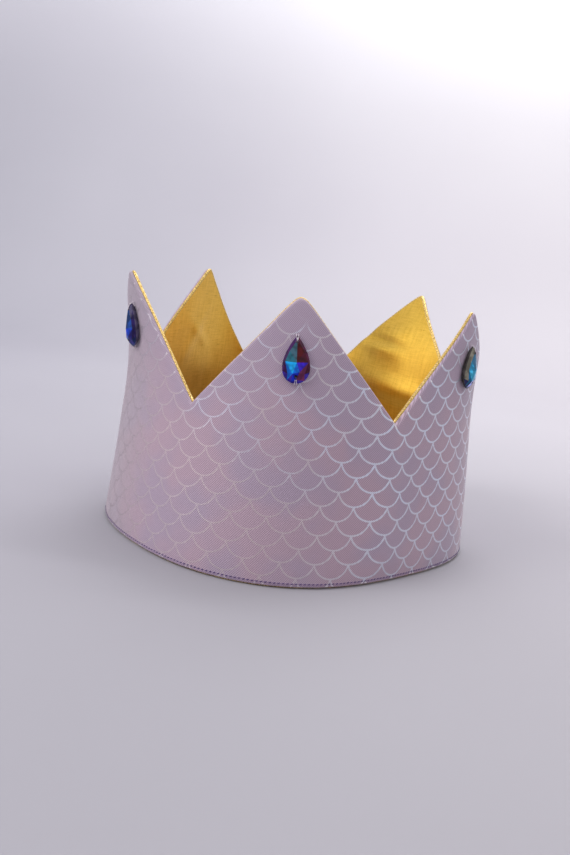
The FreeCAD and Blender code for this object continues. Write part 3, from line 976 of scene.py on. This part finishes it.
# Corners of a stone's cut above its edge: shares of its width and length, then height in millimetres
CROWN_CUT = [(0.0, 0.40, 3.0), (-0.25, 0.17, 3.0), (-0.40, -0.05, 3.0), (-0.30, -0.30, 3.0),
             (0.0, -0.42, 3.0), (0.30, -0.30, 3.0), (0.42, -0.06, 3.0), (0.27, 0.17, 3.0),
             (0.0, -0.07, 4.4), (0.12, -0.26, 3.95), (-0.13, -0.30, 3.9)]
PEAK = max(CROWN_CUT, key=lambda corner: corner[2])
# Share of its full outline and height in millimetres of the stone's back and of its rim's two edges
RIM_EDGES = [(0.80, 0.0), (1.0, 1.3), (1.0, 1.8)]
RIM_CORNERS = 24
# Zones round the highest corner: up to which turn in degrees, the near zone and the far one
ZONES = [(40, "top_right", "top_right"), (95, "right", "right"), (145, "low_right", "low_right_edge"),
         (172, "low", "low_right_edge"), (200, "low", "bottom"), (260, "low_left", "low_left_edge"),
         (325, "left", "left"), (360, "top_left", "top_left")]


# Up to which height a facet's middle lies on the rim or the bevel, and how far the near zones reach
RIM_TOP, BEVEL_TOP, NEAR_REACH = 1.95 * MM, 2.75 * MM, 3.2 * MM


def facet_zone(middle, shape):
    """Which colour zone of a stone a facet lies in, by its middle."""
    x, y = middle.x - PEAK[0] * shape.stone_width, middle.y - PEAK[1] * shape.stone_length
    if middle.z < RIM_TOP:
        return "rim"
    if middle.z < BEVEL_TOP:
        return "edge_low" if y < -4 * MM else "edge_left" if x < 0 else "edge_right"
    turn = math.degrees(math.atan2(x, y)) % 360
    near, far = next(zone[1:] for zone in ZONES if turn <= zone[0])
    return near if math.hypot(x, y) < NEAR_REACH else far


def paint(bm, colour_of):
    """Give each face its own colour in the tint attribute."""
    tint = bm.loops.layers.float_color.new("tint")
    for face in bm.faces:
        colour = (*colour_of(face), 1.0)
        for loop in face.loops:
            loop[tint] = colour


class CROWN_OT_stones(CrownPiece, Operator):
    """Cut the pear stones and seat one on each point"""
    bl_idname = "crown.stones"
    bl_label = "Stones"

    def build(self, wall):
        shape = wall.shape
        material = crystal()
        for index, name in enumerate(POINT_NAMES):
            piece = self.stone(shape, name, material)
            piece.data.transform(wall.seat(index))
            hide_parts("gem_" + name)

    def stone(self, shape, name, material):
        looks = STONE_TINTS_AND_PAINTED_LIGHT[name]
        bm = bmesh.new()
        for share, height in RIM_EDGES:
            for k in range(RIM_CORNERS):
                corner = pear(2 * math.pi * k / RIM_CORNERS, shape, share)
                bm.verts.new(corner + Vector((0, 0, height * MM)))
        for x, y, z in CROWN_CUT:
            bm.verts.new((x * shape.stone_width, y * shape.stone_length, z * MM))
        hull = bmesh.ops.convex_hull(bm, input=bm.verts)
        loose = [vert for vert in hull["geom_interior"] + hull["geom_unused"]
                 if isinstance(vert, bmesh.types.BMVert)]
        bmesh.ops.delete(bm, geom=list(set(loose)), context="VERTS")
        bmesh.ops.dissolve_limit(bm, angle_limit=math.radians(1.0), verts=bm.verts, edges=bm.edges)
        bmesh.ops.recalc_face_normals(bm, faces=bm.faces)
        # Each facet takes its zone's colour, with the painted reflection and painted shade in it
        paint(bm, lambda face: looks[facet_zone(face.calc_center_median(), shape)])
        piece = finish_mesh(bm, "stone_" + name, material, smooth_faces=False)
        for side in (1, -1):
            self.drill(piece, Vector((0, side * (shape.stone_length / 2 - shape.hole_inset), 0)), shape)
        return piece

    def drill(self, piece, spot, shape):
        """Cut one of the two sewing holes, its walls painted near black as shade."""
        bm = bmesh.new()
        bmesh.ops.create_cone(bm, cap_ends=True, segments=20, radius1=shape.hole_radius,
                              radius2=shape.hole_radius, depth=12 * MM, matrix=Matrix.Translation(spot))
        paint(bm, lambda face: HOLE_SHADE)
        tool = mesh_object(bm, "drill", piece.data.materials[0], smooth_faces=False)
        cut = piece.modifiers.new("hole", "BOOLEAN")
        cut.operation, cut.object, cut.solver = "DIFFERENCE", tool, "EXACT"
        drilled = bpy.data.meshes.new_from_object(piece.evaluated_get(bpy.context.evaluated_depsgraph_get()))
        piece.modifiers.remove(cut)
        old, piece.data = piece.data, drilled
        cutter = tool.data
        bpy.data.objects.remove(tool)
        for mesh in (old, cutter):
            bpy.data.meshes.remove(mesh)
        drilled.name = piece.name


class CROWN_OT_stone_threads(CrownPiece, Operator):
    """Tie each stone down with a pale thread at both ends"""
    bl_idname = "crown.stone_threads"
    bl_label = "Stone Threads"

    def build(self, wall):
        shape = wall.shape
        bm = bmesh.new()
        run = thread_mesh()
        for index in range(len(POINT_NAMES)):
            seat = wall.seat(index)
            for side in (1, -1):
                for sway in (-0.3, 0.3):
                    self.loop(bm, run, shape, seat, side, sway * MM)
        bpy.data.meshes.remove(run)
        piece = finish_mesh(bm, "stone_threads", stone_thread())

    def loop(self, bm, run, shape, seat, side, sway):
        """Thread from a stone's hole over its end to the cloth."""
        tip = shape.stone_length / 2
        hole = tip - shape.hole_inset
        places = [(0.0, hole, 1.6 * MM), (sway * 0.3, hole + 0.45 * MM, 3.05 * MM),
                  (sway, tip - 0.7 * MM, 2.5 * MM), (sway * 1.3, tip + 0.3 * MM, 1.3 * MM),
                  (sway * 1.5, tip + 0.45 * MM, 0.2 * MM)]
        places = [seat @ Vector((x, y * side, z)) for x, y, z in places]
        across = seat.to_3x3() @ Vector((1, 0, 0))
        for first, second in zip(places, places[1:]):
            lay_thread(bm, run, first, second, across, STONE_THREAD_RADIUS)


def painted_light_stage():
    """Pale floor and backdrop with painted light: whiter towards the top and the right, darker low down and
    on the left as painted shade.
    """
    recipe = Recipe("painted_light_stage", 0.9)
    place = recipe.object_place()
    across, _, up = recipe.parts(place)
    # Painted light and shade: from dim low on the left to near white high on the right
    side, rise = recipe.band(across, -0.45, 0.45), recipe.band(up, 0.10, 0.85)
    low = recipe.mix(side, (0.30, 0.292, 0.34), (0.42, 0.40, 0.435))
    high = recipe.mix(side, (0.68, 0.67, 0.73), (0.93, 0.93, 0.94))
    clouds = recipe.noise(place, 3.0) * 0.12
    recipe.set("Base Color", recipe.mix(clouds, recipe.mix(rise, low, high), (0.85, 0.85, 0.88)))
    recipe.set("Specular IOR Level", 0.1)
    return recipe.material


def area_light(name, location, size, power, colour=(1.0, 0.985, 0.97), target=(0, 0, 0.05)):
    """Round lamp that faces a target, which is the middle of the crown if none is given."""
    lamp = bpy.data.lights.new(name, "AREA")
    lamp.shape = "DISK"
    lamp.size = size
    lamp.energy = power
    lamp.color = colour
    light = bpy.data.objects.new(name, lamp)
    light.location = location
    light.rotation_euler = (Vector(target) - Vector(location)).to_track_quat("-Z", "Y").to_euler()
    bpy.context.collection.objects.link(light)


# Floor and backdrop in metres: half width and length, where the floor starts and ends, radius of the bend
STAGE_HALF_WIDTH, STAGE_HALF_LENGTH, FLOOR_START, FLOOR_END, STAGE_BEND = 2.4, 1.9, -1.2, 0.60, 0.35


class CROWN_OT_stage(CrownPiece, Operator):
    """Set the floor, backdrop, lights and camera"""
    bl_idname = "crown.stage"
    bl_label = "Stage"

    def build(self, wall):
        self.backdrop()
        self.world()
        area_light("key", (-0.95, -0.55, 0.95), 0.7, 6.6)
        area_light("low", (-1.1, -0.15, 0.20), 0.7, 2.0)
        area_light("top", (0.1, 0.5, 1.3), 1.0, 5.0, (1.0, 1.0, 1.0))
        area_light("backdrop", (0.3, 0.25, 1.0), 0.7, 9.5, (1.0, 0.99, 0.99), (0.3, 0.95, 0.62))
        self.camera(wall)

    def backdrop(self):
        """Floor that bends up into a backdrop."""
        bm = bmesh.new()
        bmesh.ops.create_grid(bm, x_segments=24, y_segments=60, size=1.0)
        for vert in bm.verts:
            run = (vert.co.y + 1) * STAGE_HALF_LENGTH + FLOOR_START
            past = (run - FLOOR_END) / STAGE_BEND
            turn = min(max(past, 0.0), math.pi / 2)
            up = max(past - math.pi / 2, 0.0) + 1 - math.cos(turn)
            vert.co = Vector((vert.co.x * STAGE_HALF_WIDTH,
                              min(run, FLOOR_END) + STAGE_BEND * math.sin(turn), STAGE_BEND * up))
        mesh_object(bm, "pale_floor", painted_light_stage())

    def world(self):
        world = bpy.data.worlds.new("studio")
        world.use_nodes = True
        bpy.context.scene.world = world
        background = world.node_tree.nodes["Background"]
        background.inputs["Color"].default_value = (0.97, 0.965, 0.98, 1.0)
        background.inputs["Strength"].default_value = 0.82

    def camera(self, wall):
        stage = settings().crown_stage
        turn, rise = stage.azimuth, stage.elevation
        back = Vector((math.sin(turn) * math.cos(rise), -math.cos(turn) * math.cos(rise), math.sin(rise)))
        right = Vector((math.cos(turn), math.sin(turn), 0))
        up = back.cross(right)
        tilted_right = right * math.cos(stage.roll) + up * math.sin(stage.roll)
        tilted_up = up * math.cos(stage.roll) - right * math.sin(stage.roll)
        aim = Vector((stage.aim_side, 0, stage.aim_height)) - wall.centre
        camera = bpy.data.cameras.new("camera")
        camera.sensor_fit = "VERTICAL"
        camera.sensor_height = 36.0
        camera.lens = stage.lens
        camera.clip_start = 0.01
        viewer = bpy.data.objects.new("camera", camera)
        turned = Matrix((tilted_right, tilted_up, back)).transposed().to_4x4()
        viewer.matrix_world = Matrix.Translation(aim + back * stage.distance) @ turned
        bpy.context.collection.objects.link(viewer)
        bpy.context.scene.camera = viewer
        bpy.context.scene.view_settings.view_transform = "Standard"


PIECE_OPERATORS = (CROWN_OT_outer_cloth, CROWN_OT_lining, CROWN_OT_felt_core, CROWN_OT_elastic,
                   CROWN_OT_hem_stitches, CROWN_OT_end_stitches, CROWN_OT_stones, CROWN_OT_stone_threads,
                   CROWN_OT_stage)


class CROWN_PT_panel(Panel):
    bl_idname = "CROWN_PT_panel"
    bl_label = "Crown"
    bl_space_type = "VIEW_3D"
    bl_region_type = "UI"
    bl_category = "Crown"

    def draw(self, context):
        for operator in PIECE_OPERATORS:
            self.layout.operator(operator.bl_idname)


SETTINGS = {"crown_shape": CrownShape, "crown_print": CrownPrint, "crown_stage": CrownStage}
CLASSES = (CrownPoint, CrownShape, CrownPrint, CrownStage, *PIECE_OPERATORS, CROWN_PT_panel)


def register():
    for cls in CLASSES:
        bpy.utils.register_class(cls)
    for name, group in SETTINGS.items():
        setattr(bpy.types.Scene, name, PointerProperty(type=group))


def unregister():
    for name in SETTINGS:
        delattr(bpy.types.Scene, name)
    for cls in reversed(CLASSES):
        bpy.utils.unregister_class(cls)


def fill_points():
    """Give each point its own form."""
    points = settings().crown_shape.points
    points.clear()
    for name in POINT_NAMES:
        rise, shift, flare, rounding, stone_shift, stone_lift, stone_turn = POINT_FORMS[name]
        point = points.add()
        point.name = name
        point.rise, point.shift, point.rounding = rise * MM, shift * MM, rounding * MM
        point.flare = flare
        point.stone_shift, point.stone_lift = stone_shift * MM, stone_lift * MM
        point.stone_turn = math.radians(stone_turn)


def main():
    register()
    fill_points()
    bpy.ops.crown.felt_core()
    bpy.ops.crown.outer_cloth()
    bpy.ops.crown.lining()
    bpy.ops.crown.elastic()
    bpy.ops.crown.hem_stitches()
    bpy.ops.crown.end_stitches()
    bpy.ops.crown.stones()
    bpy.ops.crown.stone_threads()
    bpy.ops.crown.stage()


if __name__ == "__main__":
    main()
